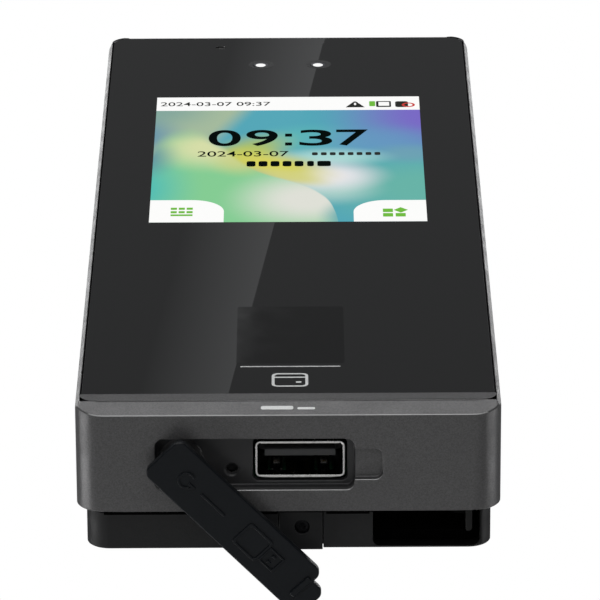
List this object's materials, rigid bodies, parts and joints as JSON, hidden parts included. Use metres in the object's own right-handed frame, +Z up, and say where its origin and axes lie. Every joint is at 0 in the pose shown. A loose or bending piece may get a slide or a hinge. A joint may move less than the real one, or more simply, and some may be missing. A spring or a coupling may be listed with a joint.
{
  "type": "fingerprint scanner terminal",
  "caption": "Slim wall-mounted access terminal with a glass front, colour display, cameras, fingerprint window, card reader and a rubber-covered USB port.",
  "frame": {"origin": "centre of the wall bracket's screw holes, on the wall plane", "axes": "+X to the right seen from the front, +Y into the wall, +Z up; the glass faces -Y"},
  "size_m": [0.062, 0.0297, 0.1698],
  "materials": {
    "shell_metal": "satin sprayed metallic grey",
    "cover_glass": "polished, printed black on its back",
    "display": "lit colour display",
    "front_print": "pale print under the glass",
    "finger_glass": "dark infrared window",
    "lens_glass": "coated lens",
    "rear_plastic": "fine spark-eroded black",
    "cover_rubber": "soft matt black rubber",
    "seal_rubber": "black rubber",
    "usb_chrome": "bright nickel plate",
    "usb_plastic": "black insulator",
    "gold_contact": "gold plate",
    "bracket_steel": "black powder coat on steel",
    "black_screw": "blackened steel",
    "screw_steel": "zinc plate",
    "black_tape": "adhesive foam",
    "black_plastic": "matt black",
    "tray_steel": "bright tinned steel",
    "flex_film": "polyimide film",
    "circuit_board": "solder resist with tracks",
    "copper": "copper track",
    "led_resin": "clear resin",
    "chip_resin": "moulding compound",
    "ivory_plastic": "connector nylon",
    "blue_plastic": "relay case",
    "capacitor_can": "printed can",
    "speaker_film": "pressed film",
    "red_plastic": "switch plunger"
  },
  "bodies": {
    "terminal": {"wall_bracket": "bracket_steel", "security_screw": "black_screw", "front_frame": "shell_metal", "cover_glass": "cover_glass", "glass_tape": "black_tape", "lcd_panel": "display", "lcd_tray": "tray_steel", "lcd_flex": "flex_film", "fingerprint_window": "finger_glass", "fingerprint_housing": "black_plastic", "fingerprint_board": "circuit_board", "card_antenna": "circuit_board", "antenna_coil": "copper", "colour_camera": "black_plastic", "colour_lens": "lens_glass", "infrared_camera": "black_plastic", "infrared_lens": "lens_glass", "camera_board": "circuit_board", "camera_flex": "flex_film", "infrared_leds": "led_resin", "microphone": "tray_steel", "main_board": "circuit_board", "processor_shield": "tray_steel", "chips": "chip_resin", "flex_sockets": "ivory_plastic", "lock_relay": "blue_plastic", "capacitors": "capacitor_can", "clock_battery": "tray_steel", "battery_clip": "gold_contact", "speaker_basket": "black_plastic", "speaker_cone": "speaker_film", "speaker_foam": "black_tape", "usb_shell": "usb_chrome", "usb_tongue": "usb_plastic", "usb_contacts": "gold_contact", "reset_switch": "black_plastic", "tamper_switch": "black_plastic", "wiring_headers": "ivory_plastic", "header_pins": "gold_contact", "board_screws": "screw_steel", "rear_cover": "rear_plastic", "rear_seal": "seal_rubber", "cover_screws": "screw_steel"},
    "cover_stem": {"cover_stem": "cover_rubber"},
    "usb_cover": {"usb_cover": "cover_rubber"},
    "reset_button": {"reset_button": "black_plastic"},
    "tamper_plunger": {"tamper_plunger": "red_plastic"}
  },
  "joints": [
    {"name": "cover_pull", "type": "slide", "parent": "terminal", "child": "cover_stem", "axis": [0, 0, 1], "range_m": [0, 0.0017]},
    {"name": "cover_swivel", "type": "hinge", "parent": "cover_stem", "child": "usb_cover", "pos_m": [-0.01565, -0.0142, -0.085], "axis": [0, 0, 1], "continuous": true},
    {"name": "reset_press", "type": "slide", "parent": "terminal", "child": "reset_button", "axis": [0, 0, 1], "range_m": [0, 0.00025], "stiffness_N_per_m": 150},
    {"name": "tamper_press", "type": "slide", "parent": "terminal", "child": "tamper_plunger", "axis": [0, -1, 0], "range_m": [0, 0.0006], "stiffness_N_per_m": 100}
  ]
}
